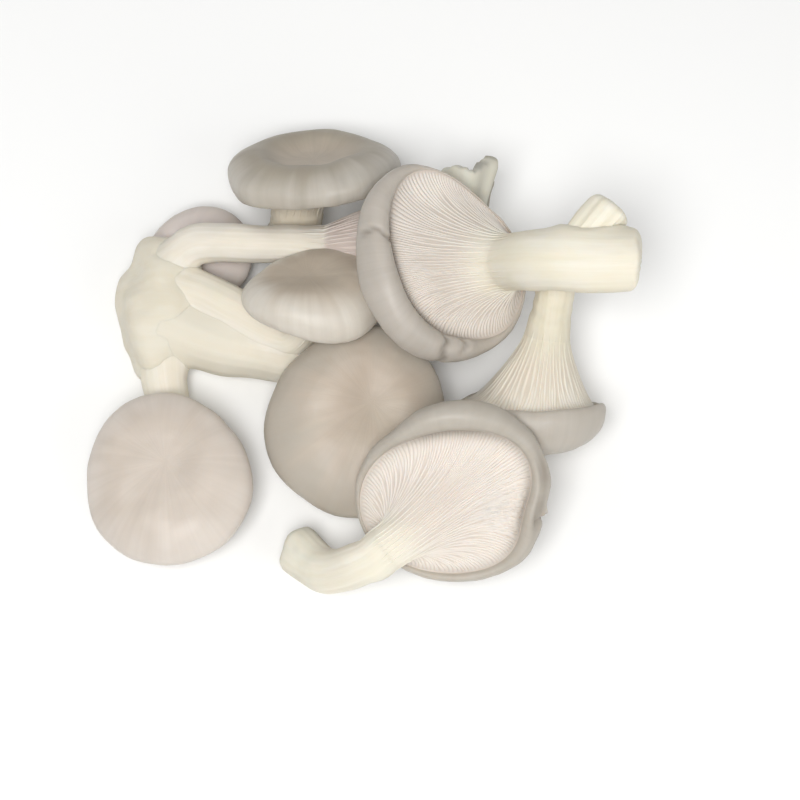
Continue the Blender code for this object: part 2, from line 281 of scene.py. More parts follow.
lipEnd = math.radians(160)  # how far the rim curls under
columnsPerGill = 8
stemRings, shoulderRings, lipRings, topRings = 46, 9, 19, 38
shoulderAt = 0.94  # share of the stem's length at which its end begins to round off
runDown = 12  # rings of the stem that the long gills run down


# the stem's middle line in the cap's own axes
def stemLineOf(m):
    further = (np.array(m["stemLine"], float) - m["at"]) @ axesOf(m)
    return np.concatenate([np.array(m["neck"], float), further])


# stem: rings round a curved middle line; the ring's front is carried along the line without twisting,
# the radius follows its own curve, closes at the end over a rounded shoulder, and has long low ridges
def stemGrid(m, theta):
    line = stemLineOf(m)
    left = 1 - shoulderAt
    body = np.linspace(0, shoulderAt, stemRings)
    shoulder = shoulderAt + left * np.sin(np.linspace(0, math.pi / 2, shoulderRings)[1:])
    share = np.concatenate([body, shoulder])
    past = np.maximum(share - shoulderAt, 0) / left
    swell = 0.45 + 0.55 * np.sqrt(np.clip(1 - past**2.4, 0, 1))
    centre = curveThrough(line, share)
    along = unitVectors(curveThrough(line, share + 0.01) - curveThrough(line, share - 0.01))
    radius = curveThrough(m["stemRadius"], share)[:, 0] * swell
    front = np.array([1.0, 0, -1.0])
    fronts = []
    for way in along:
        front = unitVectors(front - front @ way * way)
        fronts.append(front)
    fronts = np.array(fronts)
    sides = np.cross(along, fronts)
    dice = np.random.default_rng(m["seed"])
    ridge = 0
    for n in (2, 3, 5, 9, 14, 22):
        wander = dice.uniform(0, 6.3) + 2.5 * share[:, None] * dice.uniform(-1, 1)
        ridge = ridge + dice.uniform(0.4, 1) / n**0.7 * np.sin(n * theta[None] + wander)
    tube = np.broadcast_arrays(np.cos(theta)[None] * 7, np.sin(theta)[None] * 7, share[:, None] * 60)
    dents = lumps(np.stack(tube, -1), 14, m["seed"])
    ridge = (ridge + dents) * m["stemLumps"] * easeBetween(0.0, 0.35, share)[:, None]
    for angle, width, depth in m["folds"]:
        ridge = ridge + depth * bellAt(theta, angle, width)[None] * easeBetween(0.35, 0.9, share)[:, None]
    wide = (radius[:, None] + ridge)[..., None]
    spokes = np.cos(theta)[None, :, None] * fronts[:, None] - np.sin(theta)[None, :, None] * sides[:, None]
    grid = centre[:, None] + wide * spokes
    flap = sum(height * bellAt(theta, angle, width) for angle, width, height in m["flaps"]) + 0 * theta
    ragged = np.sin(23 * theta) * np.sin(7 * theta + 1) + 0.7 * np.sin(41 * theta + 2) * np.sin(5 * theta)
    uneven = 0.8 * np.cos(theta - m["seed"]) + 0.35 * np.cos(2 * theta + m["seed"])
    uneven = uneven + 0.2 * np.cos(5 * theta)
    flap = flap + m["torn"] * 0.12 * ragged + uneven
    pull = easeBetween(0.82, 1.0, share)[:, None] * flap[None]
    grid = grid + pull[..., None] * along[:, None] + (0.25 * pull)[..., None] * spokes
    # the end: rings that shrink to the middle, broken up by small lumps
    shrink = np.linspace(1, 0, 9)[1:-1, None, None]
    middle = centre[-1] + (0.5 - 0.5 * m["torn"]) * along[-1]
    end = middle + (grid[-1][None] - middle) * shrink
    rough = lumps(end, 3.5, m["seed"] + 5) * 0.5 + lumps(end, 1.4, m["seed"] + 6) * 0.25
    end = end + along[-1] * (rough * np.sqrt(1 - shrink[..., 0]))[..., None]
    share = np.concatenate([share, np.ones(len(end))])
    # folds that go inwards are shadier
    shade = 0 * theta
    for angle, width, depth in m["folds"]:
        shade = shade + max(-depth, 0) / 3 * bellAt(theta, angle, width)
    shade = shade[None] * easeBetween(0.2, 0.6, share)[:, None]
    return np.concatenate([grid, end])[::-1], share[::-1], middle, -along[0], shade[::-1]


# how thick the rim is at each angle, as a share: a cosine, or the given shares joined by straight lines
# and then blurred round the circle, each n-th harmonic damped by e to the minus (n/8)^2
def rimShares(m, theta):
    if not m["lipShares"]:
        towards = 0.5 + 0.5 * np.cos(theta - math.radians(m["lipSide"]))
        return m["lipLeast"] + (1 - m["lipLeast"]) * towards
    places, shares = np.array(m["lipShares"], float).T
    wave = np.fft.rfft(np.interp(np.degrees(theta), places, shares, period=360))
    return np.fft.irfft(wave * np.exp(-(np.arange(len(wave)) / 8) ** 2), len(theta))


# spheres along a stem, in the layout, as middles and radii
def beadsOf(changes):
    m = {**usualMushroom, **changes}
    share = np.linspace(0, 0.97, 60)
    middles = curveThrough(stemLineOf(m), share) @ axesOf(m).T + m["at"]
    return middles, curveThrough(m["stemRadius"], share)[:, 0]


# grows a skin into its neighbours: outwards by a quarter of the reach times the square of how near they are
def growTogether(points, normals, neighbours, reach):
    for middles, radii in neighbours:
        gap = np.full(points.shape[:-1], 1e9)
        for middle, radius in zip(middles, radii):
            gap = np.minimum(gap, np.abs(np.linalg.norm(points - middle, axis=-1) - radius))
        near = np.clip(1 - gap / reach, 0, 1)
        points = points + normals * (reach / 4 * near**2)[..., None]
    return points


# gills: a Hermite curve for each angle, which leaves the neck along the stem and meets the rim outwards
def gillGrid(m, out, neckRing, up, edge, t):
    reach = np.linalg.norm(edge - neckRing, axis=1, keepdims=True)
    leave = up * reach * m["flare"][0]
    arrive = (out - [0, 0, 0.1]) * reach * m["flare"][1]
    t = t[:, None, None]
    return (
        (2 * t**3 - 3 * t**2 + 1) * neckRing
        + (t**3 - 2 * t**2 + t) * leave
        + (3 * t**2 - 2 * t**3) * edge
        + (t**3 - t**2) * arrive
    ), reach[:, 0]


# height of the gills over that surface: a cosine ridge for each gill, long, middling and short ones in turn,
# each rising from nothing where it starts and all ending in a groove under the rim; crinkles make them
# taller and bend them to and fro
def gillRelief(m, theta, t, reach):
    dice = np.random.default_rng(m["seed"] + 20)
    count = m["gills"]
    t = t[:, None]
    drift = 0.9 * np.sin(3 * theta + 1) * t + 0.5 * np.sin(5 * theta + 2) * np.sin(4 * t)
    drift = drift + 0.3 * np.sin(11 * theta + m["seed"]) * np.sin(9 * t)
    drift = drift + 0.12 * np.sin(29 * theta) * np.sin(17 * t + 1)
    taller = 1 + 0.25 * np.sin(7 * theta + 3 * t) * np.sin(13 * theta + m["seed"])
    for angle, width, strength in m["crinkles"]:
        there = strength * bellAt(theta, angle, width)[None] * easeBetween(0.45, 0.85, t)
        taller = taller + there
        drift = drift + 0.16 * there * np.sin(46 * t + 17 * np.sin(21 * theta))
        drift = drift + 0.25 * there * np.sin(37 * theta)
    place = theta[None] / (2 * math.pi) * count + drift
    number = np.floor(place).astype(int) % count
    across = place - np.floor(place) - 0.5
    kind = np.arange(count) % 4
    spread = np.array([0.2, 0.12, 0.12, 0.1])[kind]
    starts = np.array([-0.3, 0.5, 0.2, 0.58])[kind] + spread * dice.uniform(-1, 1, count)
    rise = np.array([0.45, 0.2, 0.25, 0.2])[kind]
    tall = dice.uniform(0.7, 1.1, count)
    grown = easeBetween(0, 1, (t - starts[number]) / rise[number])
    toRim = (1 - t) * reach[None]
    fade = easeBetween(0.0, 1.4, toRim) * easeBetween(0, 1, (reach[None] - 1) / 8)
    crest = np.cos(math.pi * across) ** 0.9 * grown * fade
    groove = np.maximum(toRim, 0) / 0.9 * np.exp(1 - np.maximum(toRim, 0) / 0.9) * easeBetween(0, 1, t)
    low = -0.45 * easeBetween(-0.45, 0.3, t)
    relief = (crest * tall[number] + low) * taller * m["gillHeight"] * fade
    relief = relief - m["trench"] * groove * m["edgeShare"]
    return relief, crest, groove * easeBetween(0.1, 0.5, t)


# the cap's top: a superellipse dome, less a bell-shaped dimple over the stem
def domeOver(m, flat):
    q = np.minimum(np.linalg.norm(flat[..., :2], axis=-1) / m["radius"], 1)
    fromDimple = np.linalg.norm(flat[..., :2] + [0.8 * m["offset"], 0], axis=-1) / m["dimpleRadius"]
    lifted = flat.copy()
    dimple = m["dimple"] * np.exp(-(fromDimple ** m["dimpleEdge"])) * (1 - q**4)
    lifted[..., 2] = m["crown"] * np.sqrt(1 - q ** m["squareness"]) - dimple
    return lifted


# lobes and waves: cosines round the cap that push its outline in and out and lift it, more towards the rim
def unevenGrowth(m, grid, share):
    angle = np.arctan2(grid[..., 1], grid[..., 0])
    q = np.minimum(np.hypot(grid[..., 0], grid[..., 1]) / m["radius"], 1)
    grow = sum(size * np.cos(n * (angle - math.radians(at))) for n, size, at in m["lobes"])
    lift = sum(size * np.cos(n * (angle - math.radians(at))) for n, size, at in m["waves"])
    bent = grid.copy()
    grow = grow - sum(depth * bellAt(angle, at, width) for at, width, depth in m["dents"])
    bent[..., :2] *= (1 + share * grow * q**2)[..., None]
    bent[..., 2] += share * lift * q**2 + share * m["backLift"] * (0.5 - 0.5 * np.cos(angle)) ** 4 * q**2
    return bent


# the cap's own axes, seen from the heap
def axesOf(m):
    return turnAbout("z", m["leanTo"]) @ turnAbout("y", m["lean"]) @ turnAbout("z", m["turn"] - m["leanTo"])


# joins rings of a grid into faces, where a ring keeps every step-th column, and closes both ends on a point
def skinFaces(steps, columns):
    counts = columns // np.array(steps)
    starts = np.concatenate([[0], np.cumsum(counts)])
    quads, tris = [], []
    for k in range(len(counts) - 1):
        n, m = counts[k], counts[k + 1]
        i = np.arange(min(n, m))
        low, lowNext = starts[k] + i, starts[k] + (i + 1) % n
        high, highNext = starts[k + 1] + i, starts[k + 1] + (i + 1) % m
        if n == m:
            quads.append(np.stack([low, lowNext, highNext, high], 1))
        elif n > m:
            low, between, lowNext = (starts[k] + (2 * i + j) % n for j in (0, 1, 2))
            tris.append(np.stack([low, between, high], 1))
            tris.append(np.stack([between, highNext, high], 1))
            tris.append(np.stack([between, lowNext, highNext], 1))
        else:
            high, between, highNext = (starts[k + 1] + (2 * i + j) % m for j in (0, 1, 2))
            tris.append(np.stack([low, between, high], 1))
            tris.append(np.stack([low, lowNext, between], 1))
            tris.append(np.stack([lowNext, highNext, between], 1))
    first, last = starts[-1], starts[-1] + 1
    i, j = np.arange(counts[0]), np.arange(counts[-1])
    tris.append(np.stack([(i + 1) % counts[0], i, np.full_like(i, first)], 1))
    tris.append(np.stack([starts[-2] + j, starts[-2] + (j + 1) % counts[-1], np.full_like(j, last)], 1))
    return np.concatenate(quads), np.concatenate(tris)


# puts points, faces and marks into a mesh object at the origin
def meshFrom(name, points, faces, marks, material):
    mesh = bpy.data.meshes.new(name)
    loops = np.concatenate([f.ravel() for f in faces])
    sizes = np.concatenate([np.full(len(f), f.shape[1]) for f in faces])
    mesh.vertices.add(len(points))
    mesh.vertices.foreach_set("co", points.astype(np.float32).ravel())
    mesh.loops.add(len(loops))
    mesh.loops.foreach_set("vertex_index", loops.astype(np.int32))
    mesh.polygons.add(len(sizes))
    mesh.polygons.foreach_set("loop_start", np.concatenate([[0], np.cumsum(sizes)[:-1]]).astype(np.int32))
    for key, value in marks.items():
        wide = value.ndim > 1
        made = mesh.attributes.new(key, "FLOAT_VECTOR" if wide else "FLOAT", "POINT")
        made.data.foreach_set("vector" if wide else "value", value.astype(np.float32).ravel())
    mesh.update(calc_edges=True)
    mesh.validate()
    mesh.shade_smooth()
    mesh.materials.append(material)
    made = bpy.data.objects.new(name, mesh)
    bpy.context.scene.collection.objects.link(made)
    return made


# takes points from mm in the layout to metres in the frame, kept in the solids' box and so flat on the table
def inFrame(points):
    placed = (points - heapMiddle) * mm
    return np.clip(placed, boxLow, boxHigh)


# rolled rim: an arc from under the cap round to its edge, as wide and deep as the share at each angle says
def rimGrid(m, out, thick):
    half, drop = m["lip"][0] * thick, m["lip"][1] * thick
    arc = lipEnd * (1 - np.linspace(0, 1, lipRings) ** 0.9)[:, None, None]
    rim = out * (m["radius"] - half)
    return rim + half * np.cos(arc) * out - drop * np.sin(arc) * np.array([0, 0, 1.0])


# top: rings that shrink by a cosine towards a point over the stem
def topGrid(m, out):
    middle = np.array([-0.8 * m["offset"], 0, 0])
    shrink = np.cos(np.linspace(0, math.pi / 2, topRings)[1:-1])
    top = domeOver(m, middle + (m["radius"] * out - middle) * shrink[:, None, None])
    return top, domeOver(m, middle[None])[0], shrink


# heights on the rim and top: soft lumps less a bell for each nick; also how much painted shade goes in the
# nicks, and how bare the raised scraps beside them
def skinBumps(m, theta, skin, lipRows):
    topRows = len(skin) - lipRows
    bumps = lumps(skin, 16, m["seed"] + 7) * m["capLumps"]
    bumps = bumps + lumps(skin, 5, m["seed"] + 8) * m["capLumps"] * 0.2
    bumps *= np.concatenate([easeBetween(0, 1, np.arange(lipRows) / 8), np.ones(topRows)])[:, None]
    across = np.concatenate([np.linspace(0, 1, lipRows), 1 + np.linspace(0, 1, topRows)])[:, None]
    nickShade, bared = 0 * bumps, 0 * bumps
    for angle, width, depth, low, high in m["creases"]:
        window = easeBetween(low - 0.15, low + 0.1, across)
        window = window * (1 - easeBetween(high - 0.1, high + 0.15, across))
        nick = bellAt(theta + 0.03 * np.sin(9 * across), angle, width) * window
        bumps = bumps - depth * nick
        nickShade = np.maximum(nickShade, nick * min(max(depth, 0) / 0.8, 1))
        bared = np.maximum(bared, nick * min(max(-depth - 0.7, 0) / 0.4, 1))
    return bumps, nickShade, bared


# where a point lies along the fibres: place round the stem or cap, then length along the skin, in metres
def grainOf(m, grid, theta, stemRows, gillRows):
    step = np.linalg.norm(np.diff(grid, axis=0), axis=-1).mean(1)
    length = np.concatenate([[0], np.cumsum(step)])
    ring = np.full(len(grid), float(m["radius"]))
    ring[:stemRows] = 8
    ring[stemRows:stemRows + gillRows] = np.linspace(8, m["radius"], gillRows)
    return np.stack([
        np.cos(theta)[None] * ring[:, None] * mm + m["seed"],
        np.sin(theta)[None] * ring[:, None] * mm,
        np.broadcast_to(length[:, None] * mm, grid.shape[:2]),
    ], -1)


# gives a piece its body and hides the solid of the node that it stands for
def setInPlace(made, node):
    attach(made, "root")
    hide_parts(node)


# marks of a piece that is stem all over
def stemMarks(count, foot, grain):
    marks = {key: np.zeros(count) for key in ("gillMark", "crest", "outward", "paintedShade")}
    return {**marks, "stemMark": np.ones(count), "foot": np.full(count, float(foot)), "grain": grain}


# one mushroom: stem, gills, rolled rim and top in a single closed skin
def growMushroom(name, node, changes):
    m = {**usualMushroom, **changes}
    columns = m["gills"] * columnsPerGill
    theta = np.arange(columns) * 2 * math.pi / columns
    out = np.stack([np.cos(theta), np.sin(theta), 0 * theta], 1)

    stem, stemShare, stemEnd, up, stemShade = stemGrid(m, theta)

    thick = rimShares(m, theta)[:, None]
    m["edgeShare"] = np.clip(thick[:, 0], 0, 1) ** 1.3  # so that a thin rim has a shallow groove
    lip = rimGrid(m, out, thick)
    t = np.sin(np.linspace(0, math.pi / 2, m["gillRows"] + 1))[1:]
    gills, reach = gillGrid(m, out, stem[-1], up, lip[0], t)
    lip = lip[1:]

    top, crownPoint, shrink = topGrid(m, out)

    stemRows, gillRows, lipRows, topRows = len(stem), len(gills), len(lip), len(top)
    share = np.concatenate([np.zeros(stemRows), t**2, np.ones(lipRows + topRows)])[:, None]
    grid = unevenGrowth(m, np.concatenate([stem, gills, lip, top]), share)
    crownPoint = unevenGrowth(m, crownPoint[None], np.ones(1))[0]

    # gills and the last of the stem, where the long gills run down it
    runStart, rimStart = stemRows - runDown, stemRows + gillRows
    tDown = np.concatenate([-(stemShare[runStart:stemRows] / max(stemShare[runStart], 1e-6)) * 0.45, t])
    relief, crest, groove = gillRelief(m, theta, tDown, reach)
    calm = easeBetween(0, 0.5, np.arange(rimStart - runStart) / runDown)[:, None]
    grid[runStart:rimStart] += (relief * calm)[..., None] * ringNormals(grid[runStart:rimStart])
    neighbours = [((middles - m["at"]) @ axesOf(m), radii) for middles, radii in m["meets"]]
    below = grid[:stemRows]
    grid[:stemRows] = growTogether(below, ringNormals(below), neighbours, m["meetReach"])

    # rim and top
    bumps, nickShade, bared = skinBumps(m, theta, grid[rimStart:], lipRows)
    grid[rimStart:] += bumps[..., None] * ringNormals(grid[rimStart:])
    crownPoint = crownPoint + [0, 0, bumps[-1].mean()]

    # marks for the material: the nicks, the groove under the rim and the inward folds of the stem get painted
    # shade, and raised scraps are bare flesh
    rows = len(grid)
    tall, paintedShade = np.zeros((rows, columns)), np.zeros((rows, columns))
    tall[runStart:rimStart] = crest
    paintedShade[runStart:rimStart] = groove * m["edgeShare"] * min(m["trench"], 1)
    paintedShade[rimStart:] = nickShade * 0.7
    paintedShade[:stemRows] = stemShade
    alongGills = 0.85 * (1 - easeBetween(0.0, m["paleTo"], t))
    down = 1 - 0.15 * np.linspace(0, 1, runDown)
    stemMark = np.concatenate([np.ones(stemRows - runDown), down, alongGills, np.zeros(lipRows + topRows)])
    gillMark = np.concatenate([np.zeros(stemRows), np.ones(gillRows - 1), [0.5], np.zeros(lipRows + topRows)])
    gillMark = np.repeat(gillMark[:, None], columns, 1)
    gillMark[rimStart:] = bared
    outward = np.concatenate([np.zeros(stemRows + gillRows), np.ones(lipRows), shrink])
    grain = grainOf(m, grid, theta, stemRows, gillRows)

    # only the gills keep every column
    steps = [16] * 2 + [8] * (stemRows - runDown - 4) + [4, 2] + [1] * (runDown + gillRows)
    steps = steps + [2, 4] + [8] * (lipRows + topRows - 4) + [16] * 2
    kept = [(k, np.arange(0, columns, s)) for k, s in enumerate(steps)]
    row = np.concatenate([np.full(len(i), k) for k, i in kept])
    col = np.concatenate([i for _, i in kept])

    def gathered(values, first, last):
        values = values if values.ndim > 1 else np.repeat(values[:, None], columns, 1)
        return np.concatenate([values[row, col], [first, last]])

    points = gathered(grid, stemEnd, crownPoint) @ axesOf(m).T + m["at"]
    marks = {
        "stemMark": gathered(stemMark, 1, 0), "gillMark": gathered(gillMark, 0, 0),
        "crest": gathered(tall, 0, 0), "outward": gathered(outward, 0, 0), "paintedShade": gathered(paintedShade, 0, 0),
        "foot": gathered(np.concatenate([stemShare, np.zeros(rows - stemRows)]), 1, 0),
        "grain": gathered(grain, grain[0, 0], grain[-1, 0]),
    }
    faces = skinFaces(steps, columns)
    made = meshFrom(name, inFrame(points), faces, marks, mushroomFlesh(name + "Flesh", m))
    setInPlace(made, node)
    print(name, "grown,", sum(len(f) * (f.shape[1] - 2) for f in faces), "triangles")


# the root: a ball stretched three ways, with sine bulges and a swelling towards each stem that leaves it
def growRoot(name, node, m):
    rows, columns = 90, 160
    down = np.linspace(0, math.pi, rows + 2)[1:-1, None]
    around = np.arange(columns)[None] * 2 * math.pi / columns
    ball = np.broadcast_arrays(np.sin(down) * np.cos(around), np.sin(down) * np.sin(around), np.cos(down))
    ball = np.stack(ball, -1)
    x, y, z = ball[..., 0], ball[..., 1], ball[..., 2]
    bulge = 1 + 0.07 * np.sin(5 * x + 4 * y) + 0.06 * np.sin(6 * z - 3 * y + 1)
    grid = ball * np.array(m["size"]) * bulge[..., None]
    for way in m["towards"]:
        way = unitVectors(np.array(way, float) - m["at"])
        grid += (m["swelling"] * np.exp(-((1 - unitVectors(grid) @ way) / 0.12)))[..., None] * way
    rough = lumps(grid * [0.6, 1, 1], 10, 31) * 0.5 + lumps(grid * [0.3, 1, 1], 4, 32) * 0.12
    grid += rough[..., None] * ball
    neighbours = [(middles - m["at"], radii) for middles, radii in m["meets"]]
    grid = growTogether(grid, -ringNormals(grid), neighbours, 6)
    ends = np.array([grid[0].mean(0), grid[-1].mean(0)])
    points = np.concatenate([grid.reshape(-1, 3), ends]) + m["at"]
    marks = stemMarks(len(points), 1, points[:, [1, 2, 0]] * mm)
    faces = [f[:, ::-1] for f in skinFaces([1] * rows, columns)]
    flesh = mushroomFlesh(name + "Flesh", {**usualMushroom, **m})
    setInPlace(meshFrom(name, inFrame(points), faces, marks, flesh), node)
    print(name, "grown")


# a stub of stem: rings round a curved line, with a rounded start inside the stem and a broken end
def growStub(name, node, m):
    columns = 128
    theta = np.arange(columns) * 2 * math.pi / columns
    body = np.linspace(0, 0.9, 40)
    share = np.concatenate([body, 0.9 + 0.1 * np.sin(np.linspace(0, math.pi / 2, shoulderRings)[1:])])
    swell = np.sqrt(np.clip(1 - np.maximum(0.1 - share, 0) / 0.1 * 0.8, 0, 1))
    past = np.maximum(share - 0.9, 0) / 0.1
    swell = swell * (0.55 + 0.45 * np.sqrt(np.clip(1 - past**2, 0, 1)))
    centre = curveThrough(m["line"], share)
    along = unitVectors(curveThrough(m["line"], share + 0.01) - curveThrough(m["line"], share - 0.01))
    radius = curveThrough(m["radius"], share) * swell[:, None]
    fronts = unitVectors(np.cross(along, [0, 0, 1.0]))
    sides = np.cross(along, fronts)
    ridge = sum(0.35 / n**0.5 * np.sin(n * theta + n) for n in (3, 7, 12, 19))[None] * m["ridges"]
    grid = centre[:, None] + (radius + ridge)[..., None] * (
        np.cos(theta)[None, :, None] * fronts[:, None] + np.sin(theta)[None, :, None] * sides[:, None]
    )
    grid = growTogether(grid, -ringNormals(grid), m["meets"], m["meetReach"])
    shrink = np.linspace(1, 0, 9)[1:-1, None, None]
    end = centre[-1] + (grid[-1][None] - centre[-1]) * shrink
    end = end + along[-1] * (lumps(end, 3.0, 41) * 0.7 * np.sqrt(1 - shrink[..., 0]))[..., None]
    grid = np.concatenate([grid, end])
    points = np.concatenate([grid.reshape(-1, 3), [centre[0], centre[-1]]])
    length = np.linspace(0, 20 * mm, len(grid))
    grain = np.stack(np.broadcast_arrays(
        np.cos(theta)[None] * 7 * mm, np.sin(theta)[None] * 7 * mm, length[:, None]), -1).reshape(-1, 3)
    marks = stemMarks(len(points), 0, np.concatenate([grain, [grain[0], grain[-1]]]))
    faces = skinFaces([1] * len(grid), columns)
    flesh = mushroomFlesh(name + "Flesh", {**usualMushroom, **m})
    setInPlace(meshFrom(name, inFrame(points), faces, marks, flesh), node)
    print(name, "grown")


# the bunch that grew from one root
longStem = {
    "radius": 15.5, "at": (-7, 44.8, 26.4), "lean": 90, "leanTo": -4, "turn": 176, "crown": 8,
    "lip": (4, 6), "offset": 2, "neck": ((-2, 0, -19), (-2, 0, -30)), "flare": (0.1, -0.5),
    "paleTo": 0.4, "lipShares": ((0, 0.35), (180, 0.35)),
    "stemLine": ((-54, 47.2, 24.5), (-68, 48, 22), (-80, 42, 16)), "stemRadius": (7, 6.6, 6.8, 7.2),
    "seed": 2, "gillHeight": 0.35, "gillColour": (0.62, 0.54, 0.50), "gillCloud": (0.68, 0.60, 0.55),
    "stemColour": (0.80, 0.76, 0.69), "stemCloud": (0.77, 0.73, 0.64),
}
upperCap = {
    "radius": 23.5, "at": (-27.3, 24.3, 35), "lean": 37.8, "leanTo": 94.7, "turn": -3.6, "crown": 10,
    "squareness": 3.0, "lip": (5, 8), "offset": 3, "neck": ((-3, 0, -9), (-11, 2, -17)),
    "stemLine": ((-54, 24.5, 19.5), (-67, 32, 18), (-82, 37, 14)), "stemRadius": (7, 6.5, 7, 7, 7),
    "seed": 3, "capColour": (0.50, 0.425, 0.34), "capCloud": (0.55, 0.48, 0.39),
    "rimColour": (0.66, 0.62, 0.55), "rimReach": (0.5, 0.95),
}
broadCap = {
    "radius": 31, "at": (-13.8, -15, 19), "lean": 15.6, "leanTo": -79.3, "turn": -122.5, "crown": 10,
    "offset": 10, "neck": ((-10, -2, -10), (-14, -11, -15.5)),
    "stemLine": ((-42, 11, 12), (-62, 16, 12), (-82, 24, 12)),
    "stemRadius": (7.5, 7.5, 8.5, 10.5, 10.5), "seed": 4, "capColour": (0.53, 0.445, 0.36),
    # the darker rim colour is painted shade along the cap's edge
    "capCloud": (0.55, 0.48, 0.39), "rimColour": (0.445, 0.405, 0.345), "rimReach": (0.35, 0.95),
    # the early greying of this stem towards the root is painted shade
    "stemColour": (0.84, 0.79, 0.71), "stemCloud": (0.80, 0.75, 0.65), "footReach": (0.2, 0.6),
}
sideCap = {
    "radius": 28, "at": (-75.9, -34.1, 17), "lean": 7.8, "leanTo": -111.8, "turn": -90,
    "neck": ((-7, 0, -8), (-18, 0, -12)), "stemLine": ((-79, 2, 8), (-82, 24, 10)),
    "stemRadius": (7, 6.5, 7.5, 8.5), "seed": 5, "capColour": (0.57, 0.50, 0.43),
    "capCloud": (0.63, 0.56, 0.49), "rimColour": (0.66, 0.60, 0.54),
}
smallCap = {
    "radius": 18, "at": (-68.5, 50, 9), "crown": 4.5, "dimple": 1.5, "dimpleRadius": 6, "lip": (3, 4),
    "offset": 6, "neck": ((-5, 0, -4.2), (-11, 0, -6)), "backLift": 2, "stemLine": ((-86, 42, 4.5),),
    "stemRadius": (2.7, 2.7, 2.7), "gills": 64, "gillHeight": 0.4, "stemLumps": 0.1, "seed": 6,
    "capColour": (0.66, 0.59, 0.55), "capCloud": (0.70, 0.63, 0.59), "rimColour": (0.60, 0.54, 0.49),
}
bunchRoot = {
    "at": (-82, 31, 11), "size": (13, 23, 13), "swelling": 2.5,
    "towards": ((-68, 48, 22), (-67, 32, 18), (-62, 16, 12), (-79, 2, 8)), "footReach": (0.1, 0.5),
}
# spheres that fill the root, for the stems to grow together with
rootMiddles = np.array(bunchRoot["at"]) + [[0, y, 0] for y in (-11, -7, -3.5, 0, 3.5, 7, 11)]
rootBeads = (rootMiddles, np.array([10.5, 12, 13, 13, 13, 12, 10.5]))
onRoot = {
    "longStemMushroom": longStem, "upperMushroom": upperCap,
    "broadMushroom": broadCap, "sideMushroom": sideCap,
}
stems = {name: beadsOf(m) for name, m in onRoot.items()}
growRoot("bunchRoot", "grown_bunch", {**bunchRoot, "meets": list(stems.values())})
for name, m in onRoot.items():
    others = [beads for other, beads in stems.items() if other != name]
    growMushroom(name, "grown_bunch", {**m, "meets": others + [rootBeads]})
growMushroom("smallMushroom", "grown_bunch", smallCap)

# the loose mushrooms
leaningCap = {
    "radius": 30, "at": (-28.9, 74.5, 25.2), "lean": 47.7, "leanTo": 94.7, "turn": 91.5, "crown": 9,
    "squareness": 3.4, "dimple": 5.5, "dimpleRadius": 16, "dimpleEdge": 5, "lip": (5.8, 12),
    "offset": 1, "dents": ((203, 20, -0.12), (132, 17, -0.09)), "neck": ((-1, 7, -13), (-1, 8, -19)),
    "stemLine": ((-38, 56, 8.6),), "stemRadius": (9, 8.8, 8.8), "seed": 7, "gillHeight": 0.3,
    "creases": (
        (196, 2.2, 0.3, 0.3, 1.3), (203, 1.6, 0.22, 0.2, 0.9), (172, 1.5, 0.2, 0.3, 1.1),
    ),
    "capColour": (0.37, 0.325, 0.26), "capCloud": (0.41, 0.365, 0.29),
    # painted light: the paler middle stands in for the light inside the dimple
    "rimColour": (0.56, 0.525, 0.465), "heartLitColour": (0.56, 0.485, 0.395), "heartReach": (0.62, 0.3),
    "rimReach": (0.7, 1.0), "stemColour": (0.66, 0.60, 0.49), "stemCloud": (0.70, 0.65, 0.55),
}
growMushroom("leaningMushroom", "leaning_mushroom", leaningCap)

cuppedCap = {
    "radius": 32, "at": (13, 31, 45.7), "lean": 149.9, "leanTo": 156.8, "turn": -49.4,
    "lip": (5.4, 7.5), "offset": 20, "neck": ((-20, 0, -11),),
    "stemLine": ((46, 26, 59.3), (60, 22.8, 65.4), (75.6, 22.8, 65.6)),
    "stemRadius": (9.2, 9.9, 9.9, 9.6),
    "lobes": (
        (0, -0.015, 0), (1, -0.032, 90), (2, 0.07, 67), (2, -0.025, 94), (3, 0.04, 72), (3, -0.014, 96),
    ),
    "dents": ((118, 34, 0.05), (212, 22, -0.03)), "gills": 136, "gillHeight": 0.3, "gillRows": 56,
    "seed": 8, "paleTo": 0.75,
    "lipShares": (
        (0, 1.22), (20, 1.03), (45, 0.62), (60, 0.37), (75, 0.15), (95, 0.1), (180, 0.1), (222, 0.12),
        (240, 0.48), (255, 0.66), (275, 0.88), (300, 1.1), (335, 1.3),
    ),
    "trench": 1.1, "crinkles": ((280, 40, 0.5), (0, 30, 0.4)),
    "creases": (
        (14, 2.0, 0.9, 0.0, 0.9), (272, 2.2, 1.2, 0.0, 1.0), (262, 3, -0.7, 0.0, 0.5),
        (256, 2, 0.5, 0.0, 0.5), (251, 3, -0.6, 0.0, 0.5),
    ),
    "capColour": (0.42, 0.37, 0.31), "capCloud": (0.47, 0.42, 0.355), "rimColour": (0.50, 0.46, 0.41),
    "gillColour": (0.645, 0.59, 0.535), "gillCloud": (0.74, 0.68, 0.62),
    "stemColour": (0.80, 0.77, 0.68), "stemCloud": (0.78, 0.74, 0.61), "footColour": (0.78, 0.74, 0.63),
    "soft": 0.4,
}
brokenStub = {
    "line": ((48, 22.5, 61.5), (58.5, 30, 64.5), (68, 41, 67)), "radius": (8, 8.5, 7.5), "ridges": 1.0,
    "meetReach": 8, "stemColour": (0.80, 0.77, 0.67), "stemCloud": (0.78, 0.74, 0.60),
}
